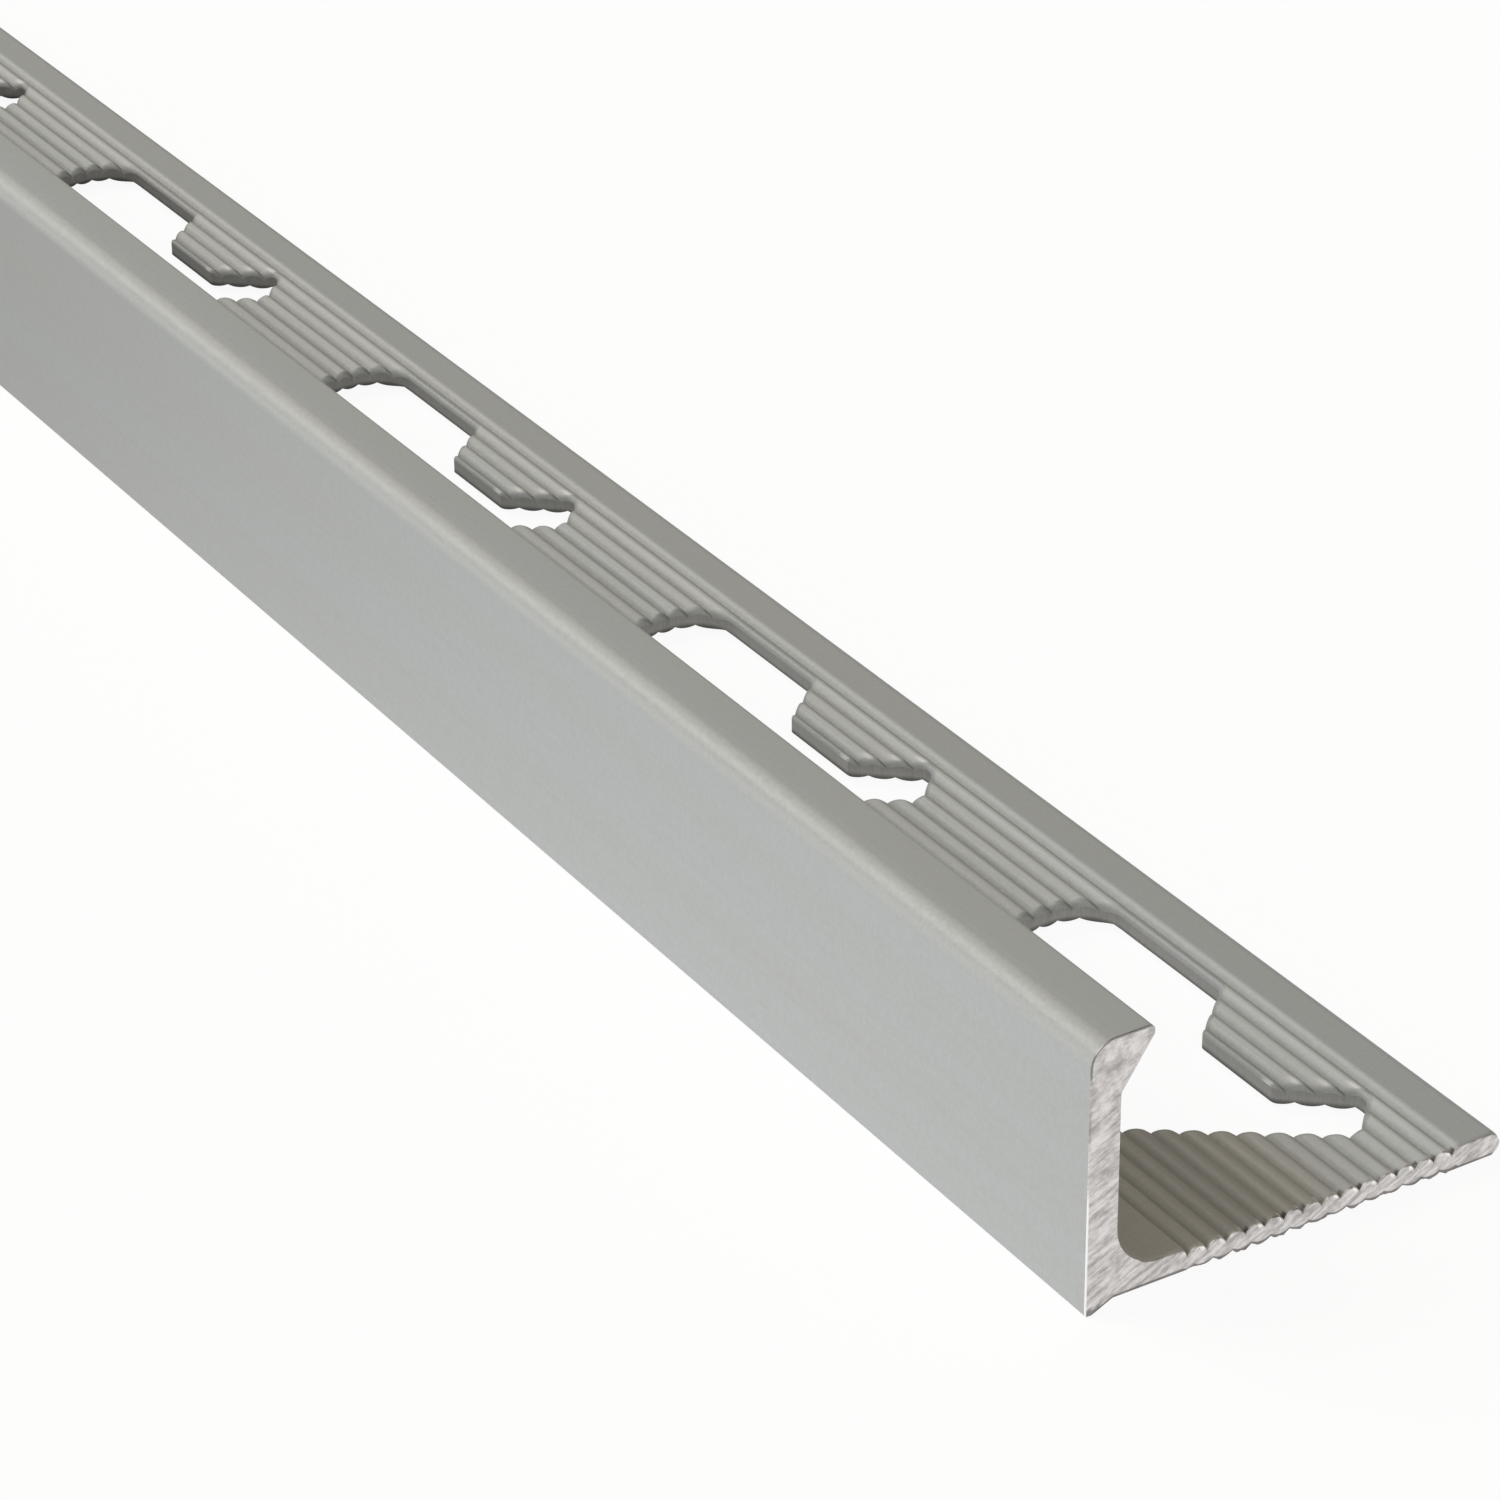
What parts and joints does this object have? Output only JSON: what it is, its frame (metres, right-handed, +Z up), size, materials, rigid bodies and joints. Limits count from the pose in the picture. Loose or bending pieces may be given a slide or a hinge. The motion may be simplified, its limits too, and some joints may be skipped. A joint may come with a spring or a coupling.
{
  "type": "perforated angle profile",
  "caption": "Aluminium angle profile with a bullnosed lip and a thin beaded leg punched with a row of large holes, cut square at both ends.",
  "frame": {"origin": "under the middle of the profile's box, at the level of the upright's foot", "axes": "+X across from the upright's outer face towards the leg's tip, +Y along the length away from the end nearest in the picture, +Z up"},
  "size_m": [0.0206, 1, 0.0126],
  "materials": {
    "aluminium": "matt silver, sawn ends left bare"
  },
  "bodies": {
    "root": {"angle_profile": "aluminium"}
  },
  "joints": []
}
